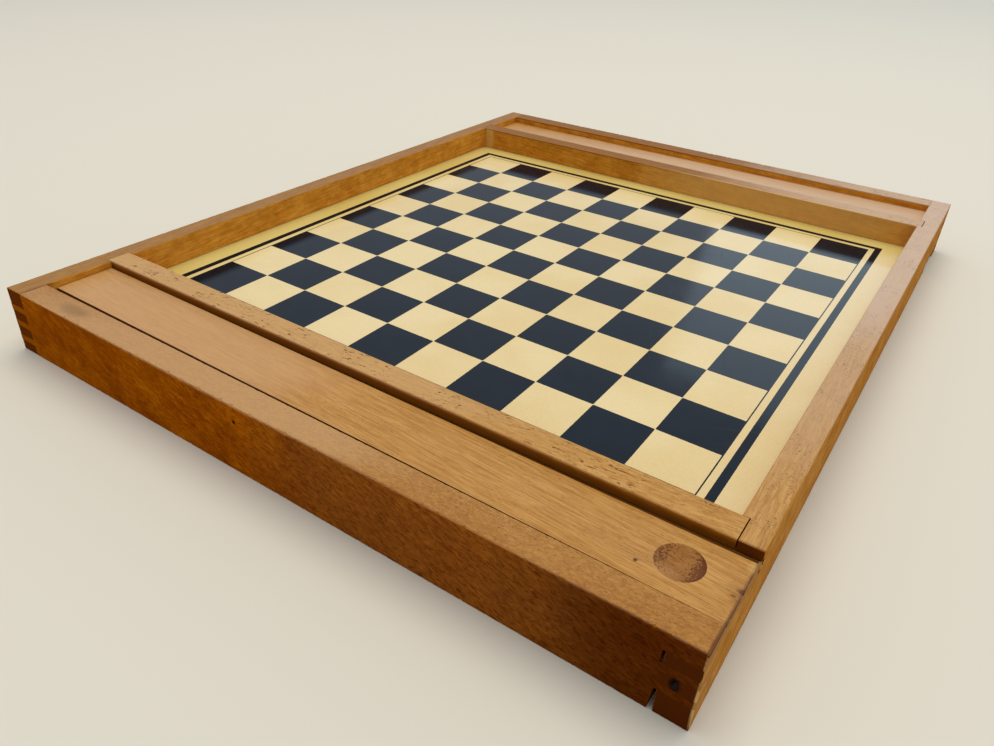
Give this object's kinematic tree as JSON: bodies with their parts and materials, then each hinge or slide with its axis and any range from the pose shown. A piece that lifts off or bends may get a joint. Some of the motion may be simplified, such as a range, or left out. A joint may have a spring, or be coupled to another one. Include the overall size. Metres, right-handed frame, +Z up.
{
  "type": "games compendium box",
  "caption": "Shallow finger-jointed wooden games box with a playing face on each side, and a sliding-lid tray at each end, one for each face.",
  "frame": {"origin": "middle of the underside of the frame", "axes": "+Z up out of the draughts face, +Y from the front tray to the back tray, +X the way both lids slide out"},
  "size_m": [0.366, 0.4636, 0.035],
  "materials": {
    "beech_frame": "worn varnished hardwood",
    "lid_wood": "worn varnished hardwood, straight grained",
    "core_board": "bare hardboard",
    "draughts_print": "printed and gloss varnished squares, cream and blue-black",
    "morris_print": "printed and gloss varnished lines, blue-black on cream",
    "floor_ply": "worn varnished plywood"
  },
  "bodies": {
    "box": {"front_rail": "beech_frame", "back_rail": "beech_frame", "left_rail": "beech_frame", "right_rail": "beech_frame", "front_divider": "beech_frame", "back_divider": "beech_frame", "board_core": "core_board", "draughts_face": "draughts_print", "morris_face": "morris_print", "front_tray_floor": "floor_ply", "back_tray_floor": "floor_ply"},
    "front_lid": {"front_lid": "lid_wood"},
    "back_lid": {"back_lid": "lid_wood"}
  },
  "joints": [
    {"name": "front_lid_slide", "type": "slide", "parent": "box", "child": "front_lid", "axis": [1, 0, 0], "range_m": [0, 0.34]},
    {"name": "back_lid_slide", "type": "slide", "parent": "box", "child": "back_lid", "axis": [1, 0, 0], "range_m": [0, 0.34]}
  ]
}
